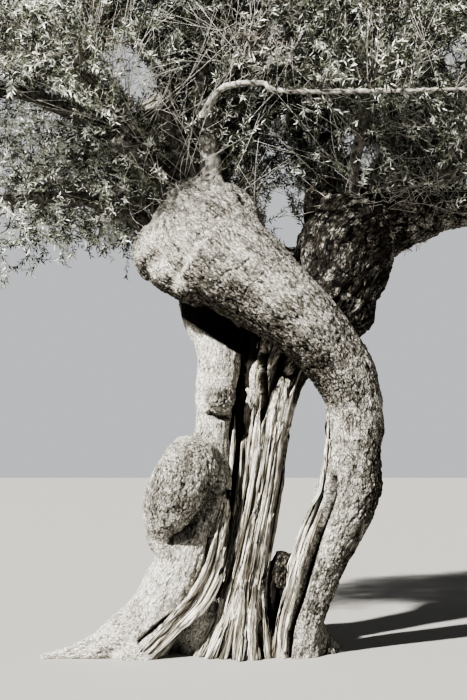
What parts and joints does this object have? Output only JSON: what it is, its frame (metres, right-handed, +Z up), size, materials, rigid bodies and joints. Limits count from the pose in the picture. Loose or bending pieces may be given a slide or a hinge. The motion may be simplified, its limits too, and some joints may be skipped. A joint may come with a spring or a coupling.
{
  "type": "olive tree",
  "caption": "Ancient pollarded olive tree with bare fluted heartwood between living stems, a bough crossing in front, a burl and a broad leafy crown.",
  "frame": {"origin": "on the flat cut of the trunk at ground level, between the living stems", "axes": "+Z up the tree, +X to the right and +Y away from the camera as the tree is seen in the picture"},
  "size_m": [7.5865, 4.545, 7.309],
  "materials": {
    "trunk_bark": "matt, granular and scaly old bark",
    "dead_wood": "matt, bare, grey, split along the grain",
    "limb_bark": "matt, fine bark of the younger limbs",
    "foliage": "leathery narrow leaves, grey green above and silvery below"
  },
  "bodies": {
    "root": {"trunk_foot": "trunk_bark", "crossing_bough": "trunk_bark", "right_stem": "trunk_bark", "pollard_head": "trunk_bark", "head_knob": "trunk_bark", "left_stem": "trunk_bark", "burl": "trunk_bark", "stem_knot": "trunk_bark", "rear_bough": "trunk_bark", "rear_arm": "trunk_bark", "heartwood": "dead_wood", "dark_wall": "dead_wood", "left_rib": "dead_wood", "right_rib": "dead_wood", "left_root": "trunk_bark", "limb_left_low": "limb_bark", "limb_left_outer": "limb_bark", "limb_left_front": "limb_bark", "limb_left_back": "limb_bark", "limb_left_top": "limb_bark", "limb_upright": "limb_bark", "limb_centre": "limb_bark", "limb_front": "limb_bark", "limb_back": "limb_bark", "limb_back_low": "limb_bark", "limb_right_inner": "limb_bark", "limb_right_top": "limb_bark", "limb_right_front": "limb_bark", "limb_right_outer": "limb_bark", "limb_right_low_front": "limb_bark", "limb_right_back": "limb_bark", "limb_back_top": "limb_bark", "long_rod": "limb_bark", "stub_high": "limb_bark", "stub_low": "limb_bark", "stub_rear": "limb_bark", "foliage_left_low": "foliage", "foliage_left_outer": "foliage", "foliage_left_front": "foliage", "foliage_left_back": "foliage", "foliage_left_top": "foliage", "foliage_top_centre": "foliage", "foliage_centre": "foliage", "foliage_front_centre": "foliage", "foliage_back_centre": "foliage", "foliage_back_low": "foliage", "foliage_right_inner": "foliage", "foliage_right_top": "foliage", "foliage_right_front": "foliage", "foliage_right_outer": "foliage", "foliage_right_low_front": "foliage", "foliage_right_end": "foliage", "foliage_right_back": "foliage", "foliage_back_top": "foliage", "foliage_right_rod_tip": "foliage", "foliage_head_shoots": "foliage"}
  },
  "joints": []
}
